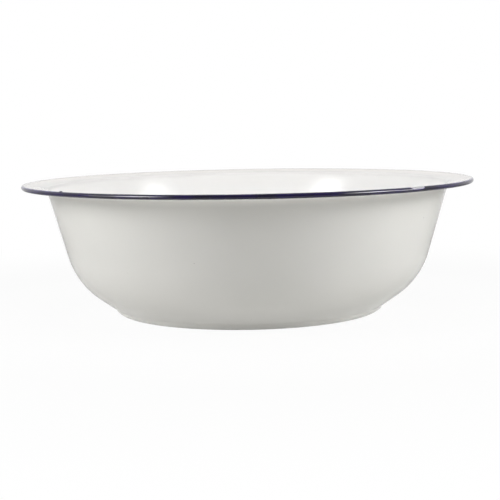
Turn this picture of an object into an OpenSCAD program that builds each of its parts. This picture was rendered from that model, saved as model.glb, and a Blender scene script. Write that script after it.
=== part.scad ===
// Enamelled wash basin: a drawn steel bowl with a curled rim, fired with a dark ground coat,
// a white cover coat inside and out, and a blue band round the rim.
// It stands on the floor plane, with Z through the middle of the bowl.

/* [Basin] */
// Diameter over the rim
rim_d = 400; // [300:5:460]
// Height from the floor to the top of the rim
basin_h = 117; // [106:1:128]

/* [Wall] */
// Lean of the wall from upright, in degrees
wall_lean = 16; // [13:0.5:19]
// Radius of the belly, where the wall turns into the underside
belly_r = 66; // [50:1:72]
// Slope of the underside between the foot and the belly, in degrees
skirt_slope = 35.5; // [32:0.5:39]

/* [Lip] */
// Width of the lip, from the outside of the wall to the outside of the rim
lip_w = 22; // [16:1:26]
// Rise of the lip towards the rim, in degrees
lip_slope = 9.5; // [6:0.5:13]
// Radius of the turn under the lip, where the wall runs into it
lip_turn_r = 4; // [2.5:0.5:8]

/* [Foot] */
// How far the flat ring that the basin stands on lies in from the outside of the rim
foot_inset = 87.5; // [75:0.5:105]
// Width of that flat ring
ring_w = 8; // [5:0.5:14]
// Height of the step from the floor up to the underside
foot_h = 5.7; // [4.6:0.1:7]
// Slope of the step, in degrees
foot_slope = 55; // [48:1:62]
// Radius of the turn from the ring up into the step
foot_corner_r = 9; // [6:0.5:12]
// Radius of the hollow turn from the step into the underside
foot_hollow_r = 8; // [5:0.5:12]

/* [Base] */
// Rise of the middle of the base above the ring
panel_rise = 3; // [1.5:0.25:4]
// Slope of the rise, in degrees
panel_slope = 30; // [20:1:40]
// Radius of the two turns of that rise
panel_turn_r = 8; // [5:0.5:12]

/* [Sheet and enamel] */
// Thickness of the steel sheet
sheet_t = 0.8; // [0.6:0.1:1]
// Thickness of the dark ground coat
ground_t = 0.2; // [0.15:0.05:0.25]
// Thickness of the white and blue coats that cover it
cover_t = 0.3; // [0.2:0.05:0.4]

/* [Rim] */
// Diameter of the finished roll that edges the lip
bead_d = 4; // [3.8:0.1:5]
// Gap between the curled edge of the sheet and the lip above it
seam_gap = 0.15; // [0.1:0.05:0.3]
// Where the blue band starts, in degrees outwards from the top of the roll
blue_start = 14; // [5:1:40]
// Where the blue band ends, in degrees below the outermost line of the roll
blue_end = 76; // [20:1:84]

/* [Hidden] */

// Most that a facet may lie off its true arc, and the facets of a full turn about Z
arc_sag = 0.01;
turn_facets = 180;

// Angles of a quarter and a full turn
quarter_turn = 90;
full_turn = 360;

// Whole thickness of the wall, and how deep the sheet lies under its enamel
enamel_t = ground_t + cover_t;
wall_t = sheet_t + 2 * enamel_t;

// Middle of the roll, and the signed radius that the underside of the lip would have round it
bead_r = bead_d / 2;
bead_mid = [rim_d / 2 - bead_r, basin_h - bead_r];
bead_turn = wall_t - bead_r;

function ahead(a) = [cos(a), sin(a)];
function left(a) = [-sin(a), cos(a)];
function back_to_front(points) = [for (i = [len(points) - 1 : -1 : 0]) points[i]];
function run_of(radius, turn) = radius * tan(abs(turn) / 2);
function steps_of(radius, turn) = ceil(abs(turn) / (2 * acos(1 - arc_sag / radius)));

// Corners of the underside of the bowl, from the middle outwards, before they are rounded
wall_slope = quarter_turn - wall_lean;
ring_end_r = rim_d / 2 - foot_inset;
foot_r = ring_end_r + run_of(foot_corner_r, foot_slope);
ring_r = ring_end_r - ring_w - run_of(panel_turn_r, panel_slope);
panel_r = ring_r - panel_rise / tan(panel_slope);
step_top = [foot_r + foot_h / tan(foot_slope), foot_h];
lip_end = bead_mid + bead_turn * -left(lip_slope);
lip_root_r = rim_d / 2 - lip_w;
lip_root = [lip_root_r, lip_end[1] - (lip_end[0] - lip_root_r) * tan(lip_slope)];
wall_run = (lip_root - step_top) * left(skirt_slope) / sin(wall_slope - skirt_slope);
belly = lip_root - wall_run * ahead(wall_slope);

// Each corner, with the radius that rounds it
CORNERS = [
  [[0, panel_rise], 0],
  [[panel_r, panel_rise], panel_turn_r],
  [[ring_r, 0], panel_turn_r],
  [[foot_r, 0], foot_corner_r],
  [step_top, foot_hollow_r],
  [belly, belly_r],
  [lip_root, lip_turn_r],
  [lip_end, 0]
];
last_corner = len(CORNERS) - 1;

function leg(i) = CORNERS[i + 1][0] - CORNERS[i][0];
function heading(i) = atan2(leg(i)[1], leg(i)[0]);
function turn_at(i) = i == 0 || i == last_corner ? 0 : heading(i) - heading(i - 1);
function run_at(i) = run_of(CORNERS[i][1], turn_at(i));
// Share of their full size that the roundings at the two ends of a leg may have, to fit along it
function room_share(i) = min(1, norm(leg(i)) / (run_at(i) + run_at(i + 1)));

// Each rounding as [middle, signed radius, heading before, heading after, steps]: a positive
// radius turns up into the bowl, and depth into the wall is counted from the underside
TURNS = [
  for (i = [1 : last_corner - 1])
    let (
      fit_share = min(room_share(i - 1), room_share(i)),
      radius = fit_share * CORNERS[i][1],
      signed = sign(turn_at(i)) * radius,
      start = CORNERS[i][0] - run_of(radius, turn_at(i)) * ahead(heading(i - 1))
    )
    [start + signed * left(heading(i - 1)), signed, heading(i - 1), heading(i), steps_of(radius, turn_at(i))]
];

// Points round one rounding at a depth, and the whole surface from the middle to the lip
function turn_points(t, depth) =
  [for (i = [0 : t[4]]) t[0] + (depth - t[1]) * left(t[2] + (t[3] - t[2]) * i / t[4])];
function wall_line(depth) = concat(
  [[0, panel_rise + depth]],
  [for (t = TURNS) each turn_points(t, depth)]
);

// Headings round the roll: where a coat meets itself again under the lip, where the sheet ends,
// and where the blue band starts and ends
function meet_at(k) = lip_slope - full_turn + acos((k - bead_turn) / (wall_t - k - bead_turn));
sheet_end = lip_slope - full_turn + acos((enamel_t - bead_turn - seam_gap) / (bead_r - enamel_t));
band_start = -blue_start;
band_end = -(quarter_turn + blue_end);

// Headings at which every arc round the roll has a point, so that the coats share their faces
function stops(from, to) =
  let (n = steps_of(bead_r, to - from))
  [for (i = [0 : n - 1]) from + (to - from) * i / n];
ROLL_STOPS = concat(
  stops(lip_slope, band_start),
  stops(band_start, band_end),
  stops(band_end, sheet_end),
  [sheet_end]
);
function roll_points(depth, from, to) = [
  for (a = concat([from], [for (s = ROLL_STOPS) if (s < from && s > to) s], [to]))
    bead_mid + (depth - bead_turn) * left(a)
];

// Outline of everything that lies under k of enamel: up the inside, round the roll and back below
function skin(k) = concat(
  wall_line(wall_t - k),
  roll_points(wall_t - k, lip_slope, meet_at(k)),
  back_to_front(wall_line(k))
);

module turned(points) {
  rotate_extrude($fn = turn_facets) polygon(points);
}

// Sheet from the middle of the base to its edge, which is curled under the lip
module steel_pressing() {
  color("lightslategray")
    turned(concat(
      wall_line(wall_t - enamel_t),
      roll_points(wall_t - enamel_t, lip_slope, sheet_end),
      back_to_front(roll_points(enamel_t, lip_slope, sheet_end)),
      back_to_front(wall_line(enamel_t))
    ));
}

// Dark coat that wraps the whole pressing and closes the seam of the curl
module ground_coat() {
  color([0.13, 0.15, 0.19])
    turned(concat(skin(cover_t), back_to_front(skin(enamel_t))));
}

// White coat inside the bowl and over the top of the lip
module white_coat_inside() {
  color([0.94, 0.94, 0.92])
    turned(concat(
      wall_line(wall_t),
      roll_points(wall_t, lip_slope, band_start),
      back_to_front(roll_points(wall_t - cover_t, lip_slope, band_start)),
      back_to_front(wall_line(wall_t - cover_t))
    ));
}

// White coat round the bottom of the roll, under the lip, down the wall and across the base,
// which the basin stands on
module white_coat_outside() {
  color([0.88, 0.89, 0.86])
    turned(concat(
      wall_line(0),
      back_to_front(roll_points(wall_t, band_end, meet_at(0))),
      roll_points(wall_t - cover_t, band_end, meet_at(cover_t)),
      back_to_front(wall_line(cover_t))
    ));
}

// Blue coat round the outside of the roll, from near its top to near its bottom
module blue_rim_band() {
  color([0.16, 0.15, 0.36])
    turned(concat(
      roll_points(wall_t, band_start, band_end),
      back_to_front(roll_points(wall_t - cover_t, band_start, band_end))
    ));
}

steel_pressing();
ground_coat();
white_coat_inside();
white_coat_outside();
blue_rim_band();
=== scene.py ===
# %% [markdown]
# # An enamelled wash basin
# A drawn steel bowl, fired with a dark ground coat, white enamel inside and out, and a band
# of cobalt blue round its rolled rim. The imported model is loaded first. It fixes where
# everything is, and each piece made below stands exactly where its solid stands.

# %% The fixed frame
from math import atan2, ceil, cos, pi, radians, sin, tan

import bmesh
import bpy
from mathutils import Euler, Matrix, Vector


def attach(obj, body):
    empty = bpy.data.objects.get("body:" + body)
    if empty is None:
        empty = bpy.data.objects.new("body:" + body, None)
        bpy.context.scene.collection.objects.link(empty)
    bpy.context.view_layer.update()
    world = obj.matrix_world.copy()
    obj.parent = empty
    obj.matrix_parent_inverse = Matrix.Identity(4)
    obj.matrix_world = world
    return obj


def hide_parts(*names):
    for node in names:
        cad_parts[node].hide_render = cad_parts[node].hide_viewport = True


MM_PER_M = 1000

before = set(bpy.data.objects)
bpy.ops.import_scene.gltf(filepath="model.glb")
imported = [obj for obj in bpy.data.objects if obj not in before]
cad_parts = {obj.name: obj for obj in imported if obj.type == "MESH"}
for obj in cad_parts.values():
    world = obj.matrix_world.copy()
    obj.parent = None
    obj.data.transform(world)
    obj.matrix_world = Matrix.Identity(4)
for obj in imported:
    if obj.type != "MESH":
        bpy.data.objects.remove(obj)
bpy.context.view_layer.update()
print("solids:", sorted(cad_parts))

# %% [markdown]
# ## The camera
# The basin was photographed from just above its rim, with a long lens. Where the camera
# stood can be worked out from the picture: the ellipse of the rim gives the height, and the
# way the near side looms over the far one gives the distance. The lens then follows from how
# large the basin appears. The camera was tipped a little, so the right end of the rim sits
# higher, and a very small shift puts the basin where the photograph has it.

# %% Camera
IMAGE_WIDTH = 500
SENSOR_WIDTH = 36
CAMERA_DISTANCE = 1.149455
CAMERA_TILT = 0.1065
CAMERA_ROLL = 0.018
FOCAL_PIXELS = 1274.42
AIM = Vector((0, 0, 0.058))
AIM_PIXEL = (248.45, 244.73)


def new_object(name, data):
    made = bpy.data.objects.new(name, data)
    bpy.context.scene.collection.objects.link(made)
    return made


def aimed_camera():
    lens = bpy.data.cameras.new("camera")
    lens.sensor_width = SENSOR_WIDTH
    lens.lens = FOCAL_PIXELS * SENSOR_WIDTH / IMAGE_WIDTH
    lens.shift_x = (IMAGE_WIDTH / 2 - AIM_PIXEL[0]) / IMAGE_WIDTH
    lens.shift_y = -(IMAGE_WIDTH / 2 - AIM_PIXEL[1]) / IMAGE_WIDTH
    camera = new_object("camera", lens)
    camera.location = AIM + CAMERA_DISTANCE * Vector((0, -cos(CAMERA_TILT), sin(CAMERA_TILT)))
    level = Euler((pi / 2 - CAMERA_TILT, 0, 0)).to_matrix()
    tip = Euler((0, 0, -CAMERA_ROLL)).to_matrix()
    camera.rotation_euler = (level @ tip).to_euler()
    bpy.context.scene.camera = camera
    return camera


camera = aimed_camera()
print("camera at", [round(x, 4) for x in camera.location], "lens", round(camera.data.lens, 2))

# %% [markdown]
# ## Building node trees from Python
# Geometry and shader trees are made of the same parts: a node, its settings, and what goes
# into each of its inputs. One helper adds a node and fills its inputs, with a plain value or
# with another node's output. The others do arithmetic, run a value up a ramp, and take a
# vector apart or put one together.

# %% Helpers for nodes
def add(tree, kind, inputs=None, **settings):
    made = tree.nodes.new(kind)
    for name, value in settings.items():
        setattr(made, name, value)
    for key, value in (inputs or {}).items():
        if isinstance(value, bpy.types.NodeSocket):
            tree.links.new(value, made.inputs[key])
        else:
            made.inputs[key].default_value = value
    return made


def calc(tree, operation, a, b=0.0, c=0.0):
    return add(tree, "ShaderNodeMath", {0: a, 1: b, 2: c}, operation=operation).outputs[0]


def plus(tree, a, b):
    return calc(tree, "ADD", a, b)


def minus(tree, a, b):
    return calc(tree, "SUBTRACT", a, b)


def times(tree, a, b):
    return calc(tree, "MULTIPLY", a, b)


def over(tree, a, b):
    return calc(tree, "DIVIDE", a, b)


def ramp(tree, value, start, full, low=0.0, high=1.0, curve="SMOOTHSTEP"):
    return add(tree, "ShaderNodeMapRange", {
        "Value": value, "From Min": start, "From Max": full, "To Min": low, "To Max": high,
    }, interpolation_type=curve).outputs[0]


def split(tree, vector):
    return add(tree, "ShaderNodeSeparateXYZ", {0: vector}).outputs


def vector_of(tree, x, y, z):
    return add(tree, "ShaderNodeCombineXYZ", {0: x, 1: y, 2: z}).outputs[0]


print("helpers:", ", ".join(f.__name__ for f in (add, calc, ramp, split, vector_of)))

# %% [markdown]
# A tree gets its sockets with their names when it is made, so that each size it needs can
# be read in the modifier, or on the group's node, by its own name.

# %% A tree with named sockets
def new_tree(name, kind, inputs, outputs):
    tree = bpy.data.node_groups.new(name, kind)
    for end, sockets in (("INPUT", inputs), ("OUTPUT", outputs)):
        for title, sort in sockets.items():
            sort = "NodeSocket" + sort.capitalize()
            tree.interface.new_socket(title, in_out=end, socket_type=sort)
    return tree, tree.nodes.new("NodeGroupInput").outputs, tree.nodes.new("NodeGroupOutput")


print("trees are made by", new_tree.__name__)

# %% [markdown]
# ## The turned profile
# Seen in section, the whole basin is one chain of straight runs joined by round turns: the
# raised middle of the base, the ring it stands on, the step, the underside, the belly, the
# wall and the lip. The sizes are those of the solid model, in millimetres. Depth is counted
# from the underside into the wall, so the same chain gives the underside at depth 0 and the
# inside of the bowl at the full thickness.

# %% Sizes of the section
RIM_D = 400
BASIN_H = 117
WALL_LEAN = radians(16)
BELLY_R = 66
SKIRT_SLOPE = radians(35.5)
LIP_W = 22
LIP_SLOPE = radians(9.5)
LIP_TURN_R = 4
FOOT_INSET = 87.5
RING_W = 8
FOOT_H = 5.7
FOOT_SLOPE = radians(55)
FOOT_CORNER_R = 9
FOOT_HOLLOW_R = 8
PANEL_RISE = 3
PANEL_SLOPE = radians(30)
PANEL_TURN_R = 8
WALL_T = 1.8
COVER_T = 0.3
BEAD_R = 2
BLUE_END = radians(76)

bead_mid = Vector((RIM_D / 2 - BEAD_R, BASIN_H - BEAD_R))
bead_turn = WALL_T - BEAD_R
print("middle of the roll in mm:", bead_mid[:])

# %% [markdown]
# The corners of the chain follow from those sizes. The foot is measured from the rim inwards,
# and the belly lies where the line of the wall meets that of the underside.

# %% Corners of the section
def ahead(angle):
    return Vector((cos(angle), sin(angle)))


def left(angle):
    return Vector((-sin(angle), cos(angle)))


def run_of(radius, turn):
    return radius * tan(abs(turn) / 2)


def section_corners():
    ring_end = RIM_D / 2 - FOOT_INSET
    foot = ring_end + run_of(FOOT_CORNER_R, FOOT_SLOPE)
    ring = ring_end - RING_W - run_of(PANEL_TURN_R, PANEL_SLOPE)
    step_top = Vector((foot + FOOT_H / tan(FOOT_SLOPE), FOOT_H))
    lip_end = bead_mid - bead_turn * left(LIP_SLOPE)
    root_r = RIM_D / 2 - LIP_W
    lip_root = Vector((root_r, lip_end.y - (lip_end.x - root_r) * tan(LIP_SLOPE)))
    wall_slope = pi / 2 - WALL_LEAN
    wall_run = (lip_root - step_top).dot(left(SKIRT_SLOPE)) / sin(wall_slope - SKIRT_SLOPE)
    return [
        (Vector((0, PANEL_RISE)), 0),
        (Vector((ring - PANEL_RISE / tan(PANEL_SLOPE), PANEL_RISE)), PANEL_TURN_R),
        (Vector((ring, 0)), PANEL_TURN_R),
        (Vector((foot, 0)), FOOT_CORNER_R),
        (step_top, FOOT_HOLLOW_R),
        (lip_root - wall_run * ahead(wall_slope), BELLY_R),
        (lip_root, LIP_TURN_R),
        (lip_end, 0),
    ]


corners = section_corners()
print("corners in mm:", [(round(p.x, 2), round(p.y, 2)) for p, radius in corners])

# %% [markdown]
# Each corner is rounded by an arc that touches both of its runs. An arc is written as its
# middle, its signed radius and the two headings it turns between, and a point on it moves
# along the radius when the depth changes. Straight runs are then cut into short pieces,
# because a later step lets the wall wander a little from its true shape, as a pressing does.

# %% Points along the section
ARC_STEP = radians(2.4)
BEAD_STEP = radians(7.5)
RUN_STEP = 4.0


def section_turns():
    turns = []
    for (a, _), (b, radius), (c, _) in zip(corners, corners[1:], corners[2:]):
        before, after = atan2((b - a).y, (b - a).x), atan2((c - b).y, (c - b).x)
        signed = radius if after > before else -radius
        start = b - run_of(radius, after - before) * ahead(before)
        turns.append((start + signed * left(before), signed, before, after))
    return turns


def headings(start, end, step):
    count = ceil(abs(end - start) / step)
    return [start + (end - start) * i / count for i in range(count + 1)]


def arc_points(middle, radius, start, end, step):
    return [middle + radius * left(heading) for heading in headings(start, end, step)]


def wall_line(depth):
    points = [Vector((0, PANEL_RISE + depth))]
    for middle, signed, before, after in section_turns():
        points += arc_points(middle, depth - signed, before, after, ARC_STEP)
    return points


def cut_short(points, longest):
    cut = [points[0]]
    for a, b in zip(points, points[1:]):
        pieces = max(1, ceil((b - a).length / longest))
        cut += [a.lerp(b, i / pieces) for i in range(1, pieces + 1)]
    return cut


print("points up the inside:", len(cut_short(wall_line(WALL_T), RUN_STEP)))

# %% [markdown]
# ## The two white coats
# White enamel covers the bowl in two skins, which part under the blue band: one runs up the
# inside and over the lip, the other goes under the roll, down the wall and across the base.
# The blue lies over the white, so the white dips slightly under it.

# %% White round the roll
UNDER_BLUE = 0.04
DIP_WIDTH = radians(8)


def eased(x):
    x = min(1, max(0, x))
    return x * x * (3 - 2 * x)


def on_bead(start, end):
    points = []
    for heading in headings(start, end, BEAD_STEP):
        top = eased((LIP_SLOPE - heading) / DIP_WIDTH)
        bottom = eased((heading + pi / 2 + BLUE_END) / DIP_WIDTH)
        points.append(bead_mid + (BEAD_R - UNDER_BLUE * min(top, bottom)) * left(heading))
    return points


print("the white dips", UNDER_BLUE, "mm under the blue")

# %% [markdown]
# Where the roll meets the lip from below, molten enamel is drawn into the crease and leaves
# a small hollow fillet, whose circle touches both the roll and the lip. Each section is one
# chain from the middle of the base, out along the face that shows, and back along the face
# that lies on the dark ground coat.

# %% Sections of the white coats
PART_LINE = radians(-85)
CREASE_R = 0.8
FILLET_STEP = radians(12)
FULL_TURN = 2 * pi


def inside_section():
    over_lip = on_bead(LIP_SLOPE, PART_LINE)
    front = cut_short(wall_line(WALL_T) + over_lip[:1], RUN_STEP) + over_lip[1:]
    under = arc_points(bead_mid, BEAD_R - COVER_T, PART_LINE, LIP_SLOPE, BEAD_STEP)
    return front, under + wall_line(WALL_T - COVER_T)[::-1]


def outside_section():
    low = WALL_T - BEAD_R + CREASE_R
    along = ((BEAD_R + CREASE_R) ** 2 - low ** 2) ** 0.5
    middle = bead_mid - along * ahead(LIP_SLOPE) - low * left(LIP_SLOPE)
    toward = middle - bead_mid
    touch = atan2(-toward.x, toward.y) - FULL_TURN
    fillet = [LIP_SLOPE - FULL_TURN, touch - pi]
    hollow = arc_points(middle, CREASE_R, *fillet, FILLET_STEP)
    front = cut_short(wall_line(0) + hollow[:1], RUN_STEP)
    front += hollow[1:] + on_bead(touch, PART_LINE)[1:]
    back = arc_points(bead_mid, BEAD_R - COVER_T, PART_LINE, touch, BEAD_STEP)
    back += arc_points(middle, CREASE_R + COVER_T, *fillet[::-1], FILLET_STEP)[1:]
    return front, back + wall_line(COVER_T)[::-1]


inside_front, inside_back = inside_section()
outside_front, outside_back = outside_section()
print("points inside:", len(inside_front), "+", len(inside_back))
print("points outside:", len(outside_front), "+", len(outside_back))

# %% [markdown]
# The section goes to Geometry Nodes as a small mesh of points, which also carries how far
# each of them may wander. Points on the ring that the basin stands on, and near the roll,
# stay put, so that the basin stands flat and the coats still meet.

# %% A section as an object
WANDER_RISE = 3.0
WANDER_RIM = 12.0


def section_object(name, front, back, depth):
    mesh = bpy.data.meshes.new(name)
    points = [(p.x / MM_PER_M, 0, p.y / MM_PER_M) for p in front + back]
    mesh.from_pydata(points, [(i, i + 1) for i in range(len(points) - 1)], [])
    give = mesh.attributes.new("give", "FLOAT", "POINT")
    for i, p in enumerate(front):
        low = eased((p.y - depth) / WANDER_RISE)
        give.data[i].value = low * eased((bead_mid.x - BEAD_R - p.x) / WANDER_RIM)
    return new_object(name, mesh)


inside_chain = section_object("inside_section", inside_front, inside_back, WALL_T)
outside_chain = section_object("outside_section", outside_front, outside_back, 0)
print("sections:", inside_chain.name, outside_chain.name)

# %% [markdown]
# ## Turning a section with Geometry Nodes
# A bowl of revolution could be made with the Screw modifier, but a node tree can also let
# the surface wander. It starts from a flat grid: each column of the grid is one position of
# the section on its way round, and each row is one point of the section. The blue band is
# bent from such a grid too, so the steps that both trees need come first: the grid, where a
# point of it lies, a point turned round the axis, a slow noise that swings both ways, the
# bending itself, which also merges the seam and the poles, and the end of a tree.

# %% Steps that both trees share
MERGE = 2e-6


def grid_of(tree, columns, rows):
    return add(tree, "GeometryNodeMeshGrid", {
        "Size X": 1.0, "Size Y": 1.0,
        "Vertices X": plus(tree, columns, 1.0), "Vertices Y": rows,
    }).outputs["Mesh"]


def place_on_grid(tree):
    place = add(tree, "GeometryNodeInputPosition").outputs[0]
    across = split(tree, place)
    turn = times(tree, plus(tree, across["X"], 0.5), FULL_TURN)
    return place, turn, plus(tree, across["Y"], 0.5)


def turned_point(tree, radius, turn, height):
    x = times(tree, radius, calc(tree, "COSINE", turn))
    return vector_of(tree, x, times(tree, radius, calc(tree, "SINE", turn)), height)


def swinging_noise(tree, vector, seed, scale, detail):
    noise = add(tree, "ShaderNodeTexNoise", {
        "Vector": vector, "W": seed, "Scale": scale, "Detail": detail,
    }, noise_dimensions="4D").outputs[0]
    return times(tree, minus(tree, noise, 0.5), 2.0)


def bent(tree, grid, places):
    moved = add(tree, "GeometryNodeSetPosition", {"Geometry": grid, "Position": places})
    return add(tree, "GeometryNodeMergeByDistance", {
        "Geometry": moved.outputs[0], "Distance": MERGE,
    }).outputs[0]


def end_tree(tree, geometry, finish, result):
    smooth = add(tree, "GeometryNodeSetShadeSmooth", {"Geometry": geometry}).outputs[0]
    real = add(tree, "GeometryNodeRealizeInstances", {"Geometry": smooth}).outputs[0]
    finished = add(tree, "GeometryNodeSetMaterial", {"Geometry": real, "Material": finish})
    tree.links.new(finished.outputs[0], result.inputs["Geometry"])


print("points closer than", MERGE * MM_PER_M, "mm are merged")

# %% [markdown]
# The row of a grid point looks up its point of the section, the column gives the angle, and
# the two together give the place. A slow noise then moves the faces along their normals by
# a tenth of a millimetre, as a hand-fed press leaves them.

# %% The tree that turns a section
def looked_up(tree, section, row, value, kind):
    return add(tree, "GeometryNodeSampleIndex", {
        "Geometry": section, "Value": value, "Index": row,
    }, data_type=kind).outputs["Value"]


def turned_tree():
    tree, given, result = new_tree("turned coat", "GeometryNodeTree", {
        "Section": "object", "Points": "int", "Columns": "int", "Wander": "float",
        "Wander Size": "float", "Seed": "float", "Finish": "material",
    }, {"Geometry": "geometry"})
    section = add(tree, "GeometryNodeObjectInfo", {"Object": given["Section"]})
    section = section.outputs["Geometry"]
    place, turn, share = place_on_grid(tree)
    last = minus(tree, given["Points"], 1.0)
    row = calc(tree, "ROUND", times(tree, share, last))
    point = split(tree, looked_up(tree, section, row, place, "FLOAT_VECTOR"))
    give = add(tree, "GeometryNodeInputNamedAttribute", {"Name": "give"}).outputs["Attribute"]
    kept = tree.nodes.new("GeometryNodeCaptureAttribute")
    kept.capture_items.new("FLOAT", "give")
    tree.links.new(grid_of(tree, given["Columns"], given["Points"]), kept.inputs[0])
    tree.links.new(looked_up(tree, section, row, give, "FLOAT"), kept.inputs[1])
    turned = bent(tree, kept.outputs[0], turned_point(tree, point["X"], turn, point["Z"]))
    scale = over(tree, 1.0, given["Wander Size"])
    swing = swinging_noise(tree, place, given["Seed"], scale, detail=1.0)
    reach = times(tree, given["Wander"], kept.outputs[1])
    shift = add(tree, "ShaderNodeVectorMath", {
        0: add(tree, "GeometryNodeInputNormal").outputs[0],
        "Scale": times(tree, swing, reach),
    }, operation="SCALE").outputs[0]
    wandered = add(tree, "GeometryNodeSetPosition", {"Geometry": turned, "Offset": shift})
    end_tree(tree, wandered.outputs[0], given["Finish"], result)
    return tree


turned_coat = turned_tree()
print("nodes that turn a section:", len(turned_coat.nodes))

# %% [markdown]
# The tree runs in a modifier whose inputs are set by their identifiers. What it makes is
# then taken over as a plain mesh, the modifier goes, and the direction of the faces is
# checked by the volume they enclose, which is negative when they point inwards.

# %% From a tree to a plain mesh
CM3_PER_M3 = 1e6


def made_by(tree, name, values):
    made = new_object(name, bpy.data.meshes.new(name))
    modifier = made.modifiers.new(tree.name, "NODES")
    modifier.node_group = tree
    for item in tree.interface.items_tree:
        if item.in_out == "INPUT" and item.name in values:
            modifier[item.identifier] = values[item.name]
    graph = bpy.context.evaluated_depsgraph_get()
    made.data = bpy.data.meshes.new_from_object(made.evaluated_get(graph))
    made.modifiers.clear()
    made.data.name = name
    turned_out(made)
    return made


def turned_out(piece):
    work = bmesh.new()
    work.from_mesh(piece.data)
    volume = work.calc_volume(signed=True)
    if volume < 0:
        bmesh.ops.reverse_faces(work, faces=work.faces)
        work.to_mesh(piece.data)
    open_edges = sum(1 for edge in work.edges if len(edge.link_faces) != 2)
    triangles = sum(len(face.verts) - 2 for face in work.faces)
    work.free()
    print(piece.name, triangles, "triangles, open edges", open_edges)
    print("  volume in cm3:", round(abs(volume) * CM3_PER_M3, 2))


print("ready to run", turned_coat.name)

# %% [markdown]
# ## The blue band
# Cobalt enamel is put on the rim by hand, with the basin turned under a brush or dipped by
# its edge, so the band's edges wander. Where the basin hung on a hook while it dried, only a
# film of blue is left at the top of the roll. The band is also paler and its upper edge rises
# in a few more places: beside that mark, where the blue is thin, for one short stretch in the
# middle, and at the two ends of the rim, where the paler blue is painted reflection of the
# bright room that the roll shows at a grazing angle. Each such place round the basin has a
# heading and a width of its own, fades out towards its ends, and is full over a share of its
# width.

# %% Places round the band
# Paler places: at Left End and Right End the paler blue is painted reflection of the bright
# room at a grazing view; beside the mark it is thin blue, and in the middle stretch simply
# paler.
BRUSHED_SHARE = {"Left End": 0.9, "Right End": 0.85, "Beside Mark": 0.5, "Dry Stroke": 0.4}
FULL_SHARE = {"Hook Mark": 0.7, "Tip": 0.55, "Gather": 0.3, **dict.fromkeys(BRUSHED_SHARE, 0.9)}


def near(tree, given, turn, place_name):
    gap = minus(tree, turn, given[place_name + " At"])
    gap = calc(tree, "ABSOLUTE", calc(tree, "WRAP", gap, pi, -pi))
    gap = over(tree, gap, given[place_name + " Width"])
    return ramp(tree, gap, 1.0, FULL_SHARE[place_name], curve="SMOOTHERSTEP")


def brushed_thin(tree, given, turn):
    brushed = 0.0
    for place_name, share in BRUSHED_SHARE.items():
        part = times(tree, near(tree, given, turn, place_name), share)
        brushed = calc(tree, "MAXIMUM", part, brushed)
    return brushed


print("places round the band:", ", ".join(FULL_SHARE))

# %% [markdown]
# A point of the band has a heading round the roll, from the upper edge to the lower one, and
# an angle round the basin. Slow noise moves the two edges. How fully the blue covers the
# white falls off towards both edges, over a wider reach at the upper edge and further in at
# the paler places, and is what the finish reads later, as an attribute of the mesh. The paler
# top of the roll is partly thin enamel and partly painted sheen, and the paler blue at the two
# ends of the rim is painted reflection.

# %% Edges and cover of the band
NOISE_SLICE = {"Upper Edge": 3.0, "Lower Edge": 7.0}
# The tip factor makes the left tip of the rim paler still, as painted reflection.
TIP_THINNER = 0.3


def band_edges(tree, given, turn, brushed):
    ring = turned_point(tree, 1.0, turn, given["Seed"])
    edges = []
    for side, slice_at in NOISE_SLICE.items():
        swing = swinging_noise(tree, ring, slice_at, given["Wander Count"], detail=2.0)
        edges.append(calc(tree, "MULTIPLY_ADD", swing, given["Wander"], given[side]))
    upper, lower = edges
    return calc(tree, "MULTIPLY_ADD", brushed, given["Brushed Rise"], upper), lower


# The upper reach paints a paler top of the roll, partly as painted sheen, and the paler places
# paint reflection at the rim's ends.
def band_cover(tree, given, turn, brushed, from_top, from_low):
    dip = times(tree, near(tree, given, turn, "Hook Mark"), given["Hook Mark Dip"])
    thin = given["Upper Thin Reach"]
    thin = calc(tree, "MULTIPLY_ADD", brushed, given["Brushed Reach"], thin)
    upper = over(tree, minus(tree, from_top, dip), thin)
    lower = over(tree, from_low, given["Lower Thin Reach"])
    cover = calc(tree, "MINIMUM", calc(tree, "MINIMUM", upper, lower), 1.0)
    tip = calc(tree, "MULTIPLY_ADD", near(tree, given, turn, "Tip"), -TIP_THINNER, 1.0)
    return times(tree, cover, tip)


def with_value(tree, geometry, name, value):
    return add(tree, "GeometryNodeStoreNamedAttribute", {
        "Geometry": geometry, "Name": name, "Value": value,
    }, data_type="FLOAT", domain="POINT").outputs[0]


print("noise slices of the edges:", NOISE_SLICE)

# %% [markdown]
# Surface tension rounds the edges of the band, so its face rises from the white to its full
# thickness over a short way. The same grid, turned over, makes its back, which lies a little
# into the white. On one side the wet enamel gathered under the roll and made it a little
# thicker.

# %% Faces of the band
BACK_DEPTH = 0.3


def joined(tree, *pieces):
    join = add(tree, "GeometryNodeJoinGeometry")
    for piece in pieces:
        tree.links.new(piece, join.inputs[0])
    return join.outputs[0]


def band_faces(tree, given):
    grid = grid_of(tree, given["Columns"], given["Rows"])
    front = with_value(tree, grid, "lift", 1.0)
    back = add(tree, "GeometryNodeFlipFaces", {0: grid}).outputs[0]
    return joined(tree, front, with_value(tree, back, "lift", -BACK_DEPTH))


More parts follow.
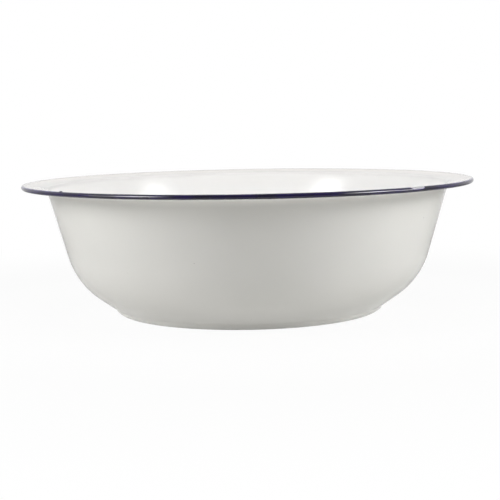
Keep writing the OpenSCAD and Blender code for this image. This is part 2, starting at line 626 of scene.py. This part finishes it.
def band_point(tree, given, turn, share, heading, from_edge):
    rise = ramp(tree, from_edge, 0.0, given["Edge Round"], curve="SMOOTHERSTEP")
    lift = add(tree, "GeometryNodeInputNamedAttribute", {"Name": "lift"}).outputs["Attribute"]
    up = minus(tree, times(tree, rise, lift), 1.0)
    radius = calc(tree, "MULTIPLY_ADD", up, given["Coat"], given["Roll Radius"])
    gather = times(tree, rise, given["Gather"])
    gather = times(tree, gather, near(tree, given, turn, "Gather"))
    radius = calc(tree, "MULTIPLY_ADD", times(tree, share, share), gather, radius)
    outward = times(tree, calc(tree, "SINE", heading), -1.0)
    out = plus(tree, given["Ring Radius"], times(tree, radius, outward))
    upward = calc(tree, "COSINE", heading)
    height = calc(tree, "MULTIPLY_ADD", radius, upward, given["Ring Height"])
    return turned_point(tree, out, turn, height)


print("the back lies", BACK_DEPTH, "coats deep in the white")

# %% [markdown]
# At one place a stray drop of blue stands on top of the rim. It is a flattened ball, turned
# so that it lies along the roll. The tree then puts all these steps together. Its rows are
# bunched towards the two edges, where the band is rounded and its cover changes most.

# %% The tree for the blue band
ROW_BUNCH = 0.7
BAND_SIZES = (
    "Ring Radius", "Ring Height", "Roll Radius", "Coat", "Edge Round", "Upper Edge",
    "Lower Edge", "Wander", "Wander Count", "Seed", "Hook Mark Dip", "Upper Thin Reach",
    "Lower Thin Reach", "Brushed Reach", "Brushed Rise", "Gather", "Drop At",
)


def stray_drop(tree, given):
    bead = add(tree, "GeometryNodeMeshUVSphere", {"Segments": 32, "Rings": 16, "Radius": 1.0})
    top = plus(tree, given["Ring Height"], given["Roll Radius"])
    return add(tree, "GeometryNodeTransform", {
        "Geometry": with_value(tree, bead.outputs[0], "cover", 1.0),
        "Scale": given["Drop Size"],
        "Translation": turned_point(tree, given["Ring Radius"], given["Drop At"], top),
        "Rotation": vector_of(tree, 0.0, 0.0, given["Drop At"]),
    }).outputs[0]


def band_tree():
    around = [name + end for name in FULL_SHARE for end in (" At", " Width")]
    tree, given, result = new_tree("blue band", "GeometryNodeTree", {
        "Columns": "int", "Rows": "int", **dict.fromkeys((*BAND_SIZES, *around), "float"),
        "Drop Size": "vector", "Finish": "material",
    }, {"Geometry": "geometry"})
    place, turn, share = place_on_grid(tree)
    bunch = calc(tree, "SINE", times(tree, share, FULL_TURN))
    bunch = times(tree, bunch, ROW_BUNCH / FULL_TURN)
    share = minus(tree, share, bunch)
    brushed = brushed_thin(tree, given, turn)
    upper, lower = band_edges(tree, given, turn, brushed)
    wide = minus(tree, lower, upper)
    heading = calc(tree, "MULTIPLY_ADD", share, wide, upper)
    span = calc(tree, "ABSOLUTE", wide)
    from_top = times(tree, share, span)
    from_low = minus(tree, span, from_top)
    from_edge = calc(tree, "MINIMUM", from_top, from_low)
    cover = band_cover(tree, given, turn, brushed, from_top, from_low)
    faces = with_value(tree, band_faces(tree, given), "cover", cover)
    closed = bent(tree, faces, band_point(tree, given, turn, share, heading, from_edge))
    bare = add(tree, "GeometryNodeRemoveAttribute", {"Geometry": closed, "Name": "lift"})
    whole = joined(tree, bare.outputs[0], stray_drop(tree, given))
    end_tree(tree, whole, given["Finish"], result)
    return tree


blue_band = band_tree()
print("nodes in the band:", len(blue_band.nodes))

# %% [markdown]
# ## Effects that several finishes share
# Enamel is glass that has flowed: it keeps a slow swell and a fine peel like that of an
# orange, and here and there a pit where gas came out. Stray grains burn in as dark flecks.
# Where the basin stands or is handled, the gloss is rubbed off in ragged patches. Each of
# these is one shader group, placed in every finish that needs it with values of its own.

# %% Shader groups for place and relief
def placed(tree, group, inputs):
    return add(tree, "ShaderNodeGroup", inputs, node_tree=group).outputs


def noise_of(tree, vector, size, detail=1.0):
    return add(tree, "ShaderNodeTexNoise", {
        "Vector": vector, "Scale": over(tree, 1.0, size), "Detail": detail,
    }).outputs[0]


def radius_of(tree, xyz):
    square = times(tree, xyz["Y"], xyz["Y"])
    return calc(tree, "SQRT", calc(tree, "MULTIPLY_ADD", xyz["X"], xyz["X"], square))


def place_group():
    tree, given, result = new_tree("place on basin", "ShaderNodeTree", {"Vector": "vector"}, {
        "Radius": "float", "Azimuth": "float", "Height": "float",
    })
    xyz = split(tree, given["Vector"])
    tree.links.new(radius_of(tree, xyz), result.inputs["Radius"])
    tree.links.new(calc(tree, "ARCTAN2", xyz["Y"], xyz["X"]), result.inputs["Azimuth"])
    tree.links.new(xyz["Z"], result.inputs["Height"])
    return tree


def skin_group():
    tree, given, result = new_tree("enamel skin", "ShaderNodeTree", {
        "Vector": "vector", "Swell Size": "float", "Swell": "float", "Peel Size": "float",
        "Peel": "float", "Pit": "float", "Pit Mask": "float",
    }, {"Height": "float"})
    swell, peel = (
        times(tree, noise_of(tree, given["Vector"], given[name + " Size"]), given[name])
        for name in ("Swell", "Peel")
    )
    pit = times(tree, given["Pit Mask"], given["Pit"])
    height = minus(tree, plus(tree, swell, peel), pit)
    tree.links.new(height, result.inputs["Height"])
    return tree


basin_place = place_group()
enamel_skin = skin_group()
print("shader groups:", basin_place.name, "and", enamel_skin.name)

# %% [markdown]
# Flecks lie in the cells of a Voronoi pattern, one to a cell. A random share of the cells
# has one, and each has a size of its own. A rubbed zone starts and ends at given values of
# some measure, such as a height, and noise added to that measure makes its border ragged.

# %% Shader groups for flecks and rubbed zones
FLECK_LEAST = 0.4
FLECK_MORE = 0.8
FLECK_CORE = 0.6


def fleck_group():
    tree, given, result = new_tree("flecks", "ShaderNodeTree", {
        "Vector": "vector", "Spacing": "float", "Size": "float", "Share": "float",
    }, {"Mask": "float"})
    cells = add(tree, "ShaderNodeTexVoronoi", {
        "Vector": given["Vector"], "Scale": over(tree, 1.0, given["Spacing"]),
    })
    apart = times(tree, cells.outputs["Distance"], given["Spacing"])
    pick = add(tree, "ShaderNodeSeparateColor", {0: cells.outputs["Color"]}).outputs
    chosen = calc(tree, "LESS_THAN", pick[0], given["Share"])
    size = calc(tree, "MULTIPLY_ADD", pick[1], FLECK_MORE, FLECK_LEAST)
    size = times(tree, given["Size"], size)
    dot = ramp(tree, over(tree, apart, size), 1.0, FLECK_CORE)
    tree.links.new(times(tree, dot, chosen), result.inputs["Mask"])
    return tree


def rub_group():
    tree, given, result = new_tree("rubbed zone", "ShaderNodeTree", {
        "Vector": "vector", "Value": "float", "Start": "float", "Full": "float",
        "Ragged Size": "float", "Ragged": "float",
    }, {"Mask": "float"})
    rough = noise_of(tree, given["Vector"], given["Ragged Size"], detail=4.0)
    rough = minus(tree, rough, 0.5)
    value = calc(tree, "MULTIPLY_ADD", rough, given["Ragged"], given["Value"])
    tree.links.new(ramp(tree, value, given["Start"], given["Full"]), result.inputs["Mask"])
    return tree


flecks = fleck_group()
rubbed_zone = rub_group()
print("shader groups:", flecks.name, "and", rubbed_zone.name)

# %% [markdown]
# A finish starts from a Principled shader whose steady values sit on its own sockets. What
# varies over the surface is worked out before it, from the object's own coordinates, so a
# pattern stays on the basin from every side.

# %% Starting a finish
TINT_LOW = 0.35
TINT_HIGH = 0.65


def new_finish(name, **steady):
    finish = bpy.data.materials.new(name)
    finish.use_nodes = True
    tree = finish.node_tree
    shader = tree.nodes["Principled BSDF"]
    for key, value in steady.items():
        shader.inputs[key].default_value = value
    vector = add(tree, "ShaderNodeTexCoord").outputs["Object"]
    return finish, tree, shader.inputs, vector


def blended(tree, share, first, second):
    mix = add(tree, "ShaderNodeMix", {0: share}, data_type="RGBA")
    for socket, colour in ((mix.inputs[6], first), (mix.inputs[7], second)):
        if isinstance(colour, bpy.types.NodeSocket):
            tree.links.new(colour, socket)
        else:
            socket.default_value = (*colour, 1.0)
    return mix.outputs[2]


def slow_tint(tree, vector, size, first, second):
    noise = noise_of(tree, vector, size, detail=2.0)
    return blended(tree, ramp(tree, noise, TINT_LOW, TINT_HIGH, curve="LINEAR"), first, second)


print("tints run from", TINT_LOW, "to", TINT_HIGH, "of their noise")

# %% [markdown]
# Short helpers place the groups in a finish. Each takes a finish's own values as one set,
# under the names of the group's sockets.

# %% Placing the groups
def zone(tree, vector, value, limits):
    inputs = {"Vector": vector, "Value": value, **limits}
    return placed(tree, rubbed_zone, inputs)["Mask"]


def fleck_mask(tree, vector, values):
    return placed(tree, flecks, {"Vector": vector, **values})["Mask"]


def give_relief(tree, shader, height):
    bump = add(tree, "ShaderNodeBump", {"Height": height, "Distance": 1.0, "Strength": 1.0})
    tree.links.new(bump.outputs[0], shader["Normal"])


def give_skin(tree, shader, vector, pits, values):
    inputs = {"Vector": vector, "Pit Mask": pits, **values}
    give_relief(tree, shader, placed(tree, enamel_skin, inputs)["Height"])


print("groups to place:", rubbed_zone.name, "and", flecks.name, "and", enamel_skin.name)

# %% [markdown]
# ## White enamel inside
# The inside is the better side: two thin layers of white over the dark ground, a little
# creamier on the lip. It is almost even, with a few burnt-in flecks. Where the wall turns
# over into the lip, the white is greyer: partly thin enamel over the bend, partly painted
# shade that tones down the bright line the overhead light leaves on that turn. Towards the
# roll, molten glass pulls thin over the bend again, and the ground coat greys it.

# %% Inside finish
INSIDE_WHITE = (0.90, 0.895, 0.885)
INSIDE_CREAM = (0.885, 0.877, 0.862)
LIP_CREAM = (0.915, 0.875, 0.84)
# A greyer white over the lip turn: partly thin enamel, partly painted shade against the
# overhead light's bright line there.
BEND_WHITE = (0.81, 0.80, 0.785)
THIN_WHITE = (0.80, 0.78, 0.755)
FLECK_BROWN = (0.16, 0.13, 0.11)
FLECK_DEPTH = 0.7
INSIDE_TINT_SIZE = 0.07
BEND_AT = 0.1776
ON_LIP = {"Start": 0.172, "Full": 0.192, "Ragged Size": 0.02, "Ragged": 0.003}
ON_BEND = {"Start": 0.0024, "Full": 0.0004, "Ragged Size": 0.02, "Ragged": 0.0006}
BY_ROLL = {"Start": 0.1925, "Full": 0.1975, "Ragged Size": 0.01, "Ragged": 0.002}
INSIDE_FLECKS = {"Spacing": 0.013, "Size": 0.00035, "Share": 0.25}
INSIDE_SKIN = {
    "Swell Size": 0.02, "Swell": 1.6e-5, "Peel Size": 0.003, "Peel": 2.0e-6, "Pit": 2.0e-5,
}


def inside_finish():
    finish, tree, shader, vector = new_finish("white_enamel_inside", Roughness=0.07, IOR=1.5)
    radius = placed(tree, basin_place, {"Vector": vector})["Radius"]
    off_bend = calc(tree, "ABSOLUTE", minus(tree, radius, BEND_AT))
    colour = slow_tint(tree, vector, INSIDE_TINT_SIZE, INSIDE_WHITE, INSIDE_CREAM)
    # The bend zone is partly painted shade.
    for value, limits, white in (
            (radius, ON_LIP, LIP_CREAM), (off_bend, ON_BEND, BEND_WHITE),
            (radius, BY_ROLL, THIN_WHITE)):
        colour = blended(tree, zone(tree, vector, value, limits), colour, white)
    dots = fleck_mask(tree, vector, INSIDE_FLECKS)
    colour = blended(tree, times(tree, dots, FLECK_DEPTH), colour, FLECK_BROWN)
    tree.links.new(colour, shader["Base Color"])
    give_skin(tree, shader, vector, dots, INSIDE_SKIN)
    return finish


white_inside = inside_finish()
print("finish:", white_inside.name)

# %% [markdown]
# ## White enamel outside
# The ring that the basin stands on is rubbed through to the ground coat in ragged patches,
# where it has been slid about, and under the base are three marks of the pins that held it
# in the furnace. One mask says where the ground coat shows.

# %% Where the outside is bare
PATCH_SIZE = 0.02
ON_FOOT = {"Start": 0.0006, "Full": 0.0, "Ragged Size": 0.004, "Ragged": 0.0014}
IN_PATCHES = {"Start": 0.42, "Full": 0.62, "Ragged Size": 0.004, "Ragged": 0.1}
WORN_LEAST, WORN_MORE = 0.12, 0.6
PIN_RING = 0.062
PIN_SIZE = 0.0022


def pin_marks(tree, where):
    third = calc(tree, "WRAP", where["Azimuth"], pi / 3, -pi / 3)
    across = times(tree, third, PIN_RING)
    along = minus(tree, where["Radius"], PIN_RING)
    apart = calc(tree, "MULTIPLY_ADD", across, across, times(tree, along, along))
    return ramp(tree, calc(tree, "SQRT", apart), PIN_SIZE, PIN_SIZE / 2)


def rubbed_through(tree, vector, where):
    worn = zone(tree, vector, where["Height"], ON_FOOT)
    patches = zone(tree, vector, noise_of(tree, vector, PATCH_SIZE, detail=3.0), IN_PATCHES)
    worn = times(tree, worn, calc(tree, "MULTIPLY_ADD", patches, WORN_MORE, WORN_LEAST))
    return calc(tree, "MAXIMUM", worn, pin_marks(tree, where))


print("the pins stood", PIN_RING * MM_PER_M, "mm from the middle of the base")

# %% [markdown]
# The outside has one layer less, so it is greyer than the inside. In the turn under the
# lip it is painted as white as the inside: painted light, standing for the light that the
# floor throws up under the lip.

# %% Outside finish
OUTSIDE_WHITE = (0.806, 0.797, 0.765)
OUTSIDE_GREY = (0.78, 0.773, 0.74)
# A whiter band under the lip: painted light for the light the floor throws up there.
POOLED_WHITE = (0.905, 0.895, 0.86)
GROUND_BLUE = (0.035, 0.04, 0.055)
OUTSIDE_TINT_SIZE = 0.09
UNDER_LIP = {"Start": 0.1055, "Full": 0.1105, "Ragged Size": 0.02, "Ragged": 0.002}
GLAZE_ROUGHNESS, BARE_ROUGHER = 0.09, 0.35
OUTSIDE_FLECKS = {"Spacing": 0.011, "Size": 0.0004, "Share": 0.3}
OUTSIDE_SKIN = {
    "Swell Size": 0.02, "Swell": 2.0e-5, "Peel Size": 0.0035, "Peel": 3.0e-6, "Pit": 3.0e-5,
}


def outside_finish():
    finish, tree, shader, vector = new_finish("white_enamel_outside", IOR=1.5)
    where = placed(tree, basin_place, {"Vector": vector})
    colour = slow_tint(tree, vector, OUTSIDE_TINT_SIZE, OUTSIDE_WHITE, OUTSIDE_GREY)
    # Painted light: the band under the lip is made whiter.
    pooled = zone(tree, vector, where["Height"], UNDER_LIP)
    colour = blended(tree, pooled, colour, POOLED_WHITE)
    dots = fleck_mask(tree, vector, OUTSIDE_FLECKS)
    colour = blended(tree, times(tree, dots, FLECK_DEPTH), colour, FLECK_BROWN)
    bare = rubbed_through(tree, vector, where)
    tree.links.new(blended(tree, bare, colour, GROUND_BLUE), shader["Base Color"])
    roughness = calc(tree, "MULTIPLY_ADD", bare, BARE_ROUGHER, GLAZE_ROUGHNESS)
    tree.links.new(roughness, shader["Roughness"])
    give_skin(tree, shader, vector, calc(tree, "MAXIMUM", dots, bare), OUTSIDE_SKIN)
    return finish


white_outside = outside_finish()
print("finish:", white_outside.name)

# %% [markdown]
# ## Cobalt blue
# The band is a dark blue glass, nearly black where it is thick and more violet in patches.
# Where it thins out over the white, along its edges and at the paler places, it turns a
# brighter blue, then a pale lilac, and where only a film is left a pale grey. Along the top of
# the roll that paleness is partly painted sheen, and at the two ends of the rim it is painted
# reflection. The finish reads the cover that the band tree left on the mesh, and makes its
# borders ragged with the same group that rubs the foot.

# %% Blue finish
NAVY = (0.008, 0.006, 0.024)
VIOLET_BLUE = (0.011, 0.004, 0.062)
THIN_BLUE = (0.032, 0.022, 0.13)
LILAC = (0.42, 0.40, 0.52)
NEARLY_BARE = (0.46, 0.455, 0.48)
BLUE_TINT_SIZE = 0.022
THINNING = ((0.9, 0.3, THIN_BLUE), (0.55, 0.1, LILAC), (0.1, 0.0, NEARLY_BARE))
BLUE_BORDER = {"Ragged Size": 0.003, "Ragged": 0.4}
BLUE_PITS = {"Spacing": 0.006, "Size": 0.0003, "Share": 0.25}
BLUE_SKIN = {
    "Swell Size": 0.012, "Swell": 1.5e-5, "Peel Size": 0.0025, "Peel": 2.0e-6, "Pit": 2.0e-5,
}


def blue_finish():
    finish, tree, shader, vector = new_finish("cobalt_enamel", Roughness=0.08, IOR=1.55)
    colour = slow_tint(tree, vector, BLUE_TINT_SIZE, NAVY, VIOLET_BLUE)
    cover = add(tree, "ShaderNodeAttribute", attribute_name="cover").outputs["Fac"]
    # Paler blue along the top of the roll and at the rim's ends is partly painted sheen and
    # reflection.
    for start, full, paler in THINNING:
        thin = zone(tree, vector, cover, {"Start": start, "Full": full, **BLUE_BORDER})
        colour = blended(tree, thin, colour, paler)
    tree.links.new(colour, shader["Base Color"])
    give_skin(tree, shader, vector, fleck_mask(tree, vector, BLUE_PITS), BLUE_SKIN)
    return finish


cobalt = blue_finish()
print("finish:", cobalt.name)

# %% [markdown]
# ## What lies under the white
# The pressing and its ground coat are solids of the model and keep their own shape. They are
# covered all over, but each still gets the finish it would have at a chip: pickled steel
# with the fine lines of the rolling mill, and a blue-black glass with small bubbles.

# %% Finishes of the covered solids
STEEL_GREY = (0.42, 0.43, 0.44)
STEEL_DARK = (0.30, 0.31, 0.33)
DEEP_BLUE = (0.009, 0.006, 0.032)
MILL_LINES = (1.0, 40.0, 1.0)
GRAIN_SIZE = 0.02
GRAIN_DEPTH = 4.0e-6
STEEL_ROUGHNESS, GRAIN_ROUGHER = 0.3, 0.2
GROUND_TINT_SIZE = 0.015
GROUND_BUBBLES = {"Spacing": 0.003, "Size": 0.0002, "Share": 0.4}
GROUND_SKIN = {
    "Swell Size": 0.01, "Swell": 1.0e-5, "Peel Size": 0.002, "Peel": 3.0e-6, "Pit": 2.0e-5,
}


def steel_finish():
    finish, tree, shader, vector = new_finish("pickled_steel", Metallic=1.0)
    lines = add(tree, "ShaderNodeMapping", {"Vector": vector, "Scale": MILL_LINES}).outputs[0]
    grain = noise_of(tree, lines, GRAIN_SIZE, detail=3.0)
    tree.links.new(blended(tree, grain, STEEL_GREY, STEEL_DARK), shader["Base Color"])
    roughness = calc(tree, "MULTIPLY_ADD", grain, GRAIN_ROUGHER, STEEL_ROUGHNESS)
    tree.links.new(roughness, shader["Roughness"])
    give_relief(tree, shader, times(tree, grain, GRAIN_DEPTH))
    return finish


def ground_finish():
    finish, tree, shader, vector = new_finish("ground_enamel", Roughness=0.18, IOR=1.55)
    colour = slow_tint(tree, vector, GROUND_TINT_SIZE, GROUND_BLUE, DEEP_BLUE)
    tree.links.new(colour, shader["Base Color"])
    give_skin(tree, shader, vector, fleck_mask(tree, vector, GROUND_BUBBLES), GROUND_SKIN)
    return finish


for node, finish in (("steel_pressing", steel_finish()), ("ground_coat", ground_finish())):
    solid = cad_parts[node]
    solid.data.materials.clear()
    solid.data.materials.append(finish)
    print(node, "wears", finish.name)

# %% [markdown]
# ## Making the pieces
# Both trees run now. Each piece stands for one solid of the model and rides on its only
# body. It carries its own finish, and the solid itself is hidden.

# %% The two white coats that show
COLUMNS = 300


def keep(piece, node):
    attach(piece, "root")
    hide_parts(node)


def coat(name, section, finish, seed):
    return made_by(turned_coat, name, {
        "Section": section, "Points": len(section.data.vertices), "Columns": COLUMNS,
        "Wander": 0.00012, "Wander Size": 0.07, "Seed": seed, "Finish": finish,
    })


inside_coat = coat("inside_enamel", inside_chain, white_inside, seed=4.0)
outside_coat = coat("outside_enamel", outside_chain, white_outside, seed=9.0)
keep(inside_coat, "white_coat_inside")
keep(outside_coat, "white_coat_outside")
for section in (inside_chain, outside_chain):
    bpy.data.objects.remove(section)

# %% [markdown]
# The places round the band were read off the photograph as angles from the side that faces
# the camera. The face of the band lies a hundredth of a millimetre inside the true roll.
# Only the gathered enamel and the stray drop stand out from the roll.

# %% The blue band that shows
FACING = -pi / 2
# Left End, Right End and Tip are where the band is painted paler as painted reflection.
BAND_PLACES = {
    "Hook Mark": (42, 2.5), "Left End": (-77, 28), "Right End": (82, 26),
    "Beside Mark": (41.2, 3.0), "Dry Stroke": (-4.1, 5.5), "Tip": (-86, 22), "Gather": (24, 34),
}
DROP_AT = -48.5
UNDER_ROLL = 0.00001

# The upper reach, wider than the lower, is partly painted sheen on the top of the roll.
band_values = {
    "Columns": 720, "Rows": 25, "Ring Radius": bead_mid.x / MM_PER_M,
    "Ring Height": bead_mid.y / MM_PER_M, "Roll Radius": BEAD_R / MM_PER_M - UNDER_ROLL,
    "Coat": 0.00014, "Edge Round": radians(7), "Upper Edge": -radians(7),
    "Lower Edge": -pi / 2 - BLUE_END, "Wander": radians(7), "Wander Count": 5.0, "Seed": 2.0,
    "Hook Mark Dip": radians(60), "Upper Thin Reach": radians(22),
    "Lower Thin Reach": radians(8), "Brushed Reach": radians(60), "Brushed Rise": radians(10),
    "Gather": 0.00025, "Drop At": FACING + radians(DROP_AT),
    "Drop Size": (0.0012, 0.0018, 0.0006), "Finish": cobalt,
}
for place_name, (azimuth, width) in BAND_PLACES.items():
    band_values[place_name + " At"] = FACING + radians(azimuth)
    band_values[place_name + " Width"] = radians(width)
rim_band = made_by(blue_band, "rim_enamel", band_values)
keep(rim_band, "blue_rim_band")

# %% [markdown]
# ## The studio
# The basin stood on a white sweep. Two fills close on either side shade the outside, two weak
# ones behind them stand for the white walls, and an overhead light fills the bowl. The side
# towards the camera was left dark, which is why the middle of the wall is the greyest part.
# On a glaze each of these lamps would also show as a bright shape, which the photograph does
# not have, so glossy rays pass them by. The glints come from softboxes further away, whose
# places follow from where each one shows, both on the inner wall and on the roll.

# %% Fills
OVERHEAD = {"at": (0, 0, 0.9), "size": (0.8, 0.8), "strength": 2.2}
SIDE_LAMPS = {
    "fill_right": {"at": (0.6, -0.335, 0.38), "size": (0.4, 0.3), "strength": 9.4},
    "wall_right": {"at": (0.75, 0.35, 0.5), "size": (0.9, 0.9), "strength": 0.7},
    "fill_left": {"at": (-0.6, -0.355, 0.38), "size": (0.4, 0.3), "strength": 9.4},
    "wall_left": {"at": (-0.75, 0.35, 0.5), "size": (0.9, 0.9), "strength": 0.7},
}


def panel(name, aim, at, size, strength):
    lamp = bpy.data.lights.new(name, "AREA")
    lamp.shape = "RECTANGLE"
    lamp.size, lamp.size_y = size
    lamp.energy = strength * size[0] * size[1] * pi
    made = new_object(name, lamp)
    made.location = at
    made.rotation_euler = (Vector(at) - Vector(aim)).to_track_quat("Z", "Y").to_euler()
    made.visible_camera = False
    return made


fills = [panel("overhead", (0, 0, 0), **OVERHEAD)]
for name, values in SIDE_LAMPS.items():
    fills.append(panel(name, (0, *values["at"][1:]), **values))
for lamp in fills:
    lamp.visible_glossy = False
print("fills:", [lamp.name for lamp in fills])

# %% [markdown]
# A softbox is brightest in its middle and fades towards its edges, and on a curved glaze that
# fading is what makes a glint look soft. The lamp's own coordinates run from 0 to 1 across
# its face, so a short node tree in the lamp can fade it. Two softboxes make the glints on
# the inner wall and the bright middle of those on the roll. Two low, weaker strips beside
# them draw out the ends of the roll's glints, too low for the inner wall to catch. All four
# are left out of diffuse light, so that they can be moved without a change to the shading.

# %% Softboxes
SOFTBOX_AWAY = 2.0
SOFTBOX_MID = 0.1
SOFTBOX_FADE = {"X": 0.5, "Y": 0.25}
SOFTBOXES = {
    "softbox_right": {"azimuth": 62, "low": 4, "high": 28, "width": 38, "strength": 21.0},
    "softbox_left": {"azimuth": -54, "low": 4, "high": 30, "width": 38, "strength": 21.0},
    "strip_right": {"azimuth": 81, "low": 2, "high": 14, "width": 26, "strength": 17.0},
    "strip_left": {"azimuth": -73, "low": 2, "high": 14, "width": 24, "strength": 9.0},
}


def faded(lamp):
    lamp.use_nodes = True
    tree = lamp.node_tree
    face = split(tree, add(tree, "ShaderNodeNewGeometry").outputs["Parametric"])
    share = 1.0
    for axis, edge in SOFTBOX_FADE.items():
        inward = calc(tree, "MINIMUM", face[axis], minus(tree, 1.0, face[axis]))
        share = times(tree, share, ramp(tree, inward, 0.0, edge))
    tree.links.new(share, tree.nodes["Emission"].inputs["Strength"])


def softbox(name, azimuth, low, high, width, strength):
    rise, turn = radians((low + high) / 2), radians(azimuth)
    level = SOFTBOX_AWAY * cos(rise)
    at = (level * sin(turn), -level * cos(turn), SOFTBOX_MID + SOFTBOX_AWAY * sin(rise))
    size = [2 * SOFTBOX_AWAY * tan(radians(a / 2)) for a in (width, high - low)]
    made = panel(name, (0, 0, SOFTBOX_MID), at, size, strength)
    made.visible_diffuse = False
    faded(made.data)
    return made


for name, values in SOFTBOXES.items():
    softbox(name, **values)

# %% [markdown]
# The sweep is so bright that it prints as plain white, with only a breath of shadow round the
# foot. Its material therefore shows itself to the camera as almost pure white, while the
# light that it throws on the basin is that of a plain pale surface. Under and near the basin
# it also glows a little, as a lit sheet of white acrylic does, which lifts the underside. In
# the glaze it is nearly white only far behind the basin, where the silhouettes pick it up.
# Close in front it is dark, because that is what the roll shows along its lower half.

# %% Floor finish
FLOOR_WHITE = (0.64, 0.64, 0.63, 1.0)
NEAR_FLOOR = 0.24
FAR_FLOOR = 0.60
BACK_FLOOR = 0.9
NEAR_SHOWN = 0.93
NEAR_IN_GLOSS = 0.05
BACK_IN_GLOSS = 0.8
TABLE_GLOW = 0.19
GLOW_FULL = 0.2
GLOW_END = 0.35


def shown_share(tree, in_gloss):
    path = add(tree, "ShaderNodeLightPath").outputs
    seen = calc(tree, "MAXIMUM", path["Is Glossy Ray"], path["Is Transmission Ray"])
    return calc(tree, "MAXIMUM", path["Is Camera Ray"], times(tree, seen, in_gloss))


def floor_finish():
    finish = bpy.data.materials.new("white_sweep")
    finish.use_nodes = True
    tree = finish.node_tree
    tree.nodes.clear()
    xyz = split(tree, add(tree, "ShaderNodeTexCoord").outputs["Object"])
    radius = radius_of(tree, xyz)
    in_gloss = ramp(tree, xyz["Y"], NEAR_FLOOR, BACK_FLOOR, NEAR_IN_GLOSS, BACK_IN_GLOSS)
    share = ramp(tree, radius, NEAR_FLOOR, FAR_FLOOR, NEAR_SHOWN)
    share = times(tree, share, shown_share(tree, in_gloss))
    plain = add(tree, "ShaderNodeBsdfDiffuse", {"Color": FLOOR_WHITE}).outputs[0]
    glow = times(tree, ramp(tree, radius, GLOW_END, GLOW_FULL), TABLE_GLOW)
    glow = add(tree, "ShaderNodeEmission", {"Strength": glow}).outputs[0]
    plain = add(tree, "ShaderNodeAddShader", {0: plain, 1: glow}).outputs[0]
    white = add(tree, "ShaderNodeEmission", {"Strength": 1.0}).outputs[0]
    mix = add(tree, "ShaderNodeMixShader", {0: share, 1: plain, 2: white})
    add(tree, "ShaderNodeOutputMaterial", {"Surface": mix.outputs[0]})
    return finish


sweep = floor_finish()
print("finish:", sweep.name)

# %% [markdown]
# The floor itself is one large square. It lies a hair below the foot, so that the two faces
# don't fight for the same place.

# %% Floor
FLOOR_HALF = 6.0
FLOOR_LOW = -0.0002


def floor():
    mesh = bpy.data.meshes.new("floor")
    signs = ((-1, -1), (1, -1), (1, 1), (-1, 1))
    points = [(x * FLOOR_HALF, y * FLOOR_HALF, FLOOR_LOW) for x, y in signs]
    mesh.from_pydata(points, [], [(0, 1, 2, 3)])
    mesh.materials.append(sweep)
    made = new_object("floor", mesh)
    return made


print("floor:", floor().dimensions[:])

# %% [markdown]
# The world is the room. The camera sees white. It gives no diffuse light, which all comes from
# the lamps and the floor, and in the glaze it runs from nearly black on the camera's side to
# nearly white at the back. That is what keeps the near side of the blue band so dark.

# %% World
WHITE = (1.0, 1.0, 1.0)
UNLIT = (0.0, 0.0, 0.0)
FRONT_IN_GLOSS = 0.12
FULL_FRONT = -1.0
FULL_BACK = 0.3


def room():
    world = bpy.data.worlds.new("room")
    world.use_nodes = True
    bpy.context.scene.world = world
    tree = world.node_tree
    tree.nodes.clear()
    toward = split(tree, add(tree, "ShaderNodeTexCoord").outputs["Generated"])["Y"]
    in_gloss = ramp(tree, toward, FULL_FRONT, FULL_BACK, FRONT_IN_GLOSS, BACK_IN_GLOSS)
    colour = blended(tree, shown_share(tree, in_gloss), UNLIT, WHITE)
    light = add(tree, "ShaderNodeBackground", {"Color": colour, "Strength": 1.0})
    add(tree, "ShaderNodeOutputWorld", {"Surface": light.outputs[0]})
    return world


print("world:", room().name)
bpy.context.scene.view_settings.view_transform = "Standard"
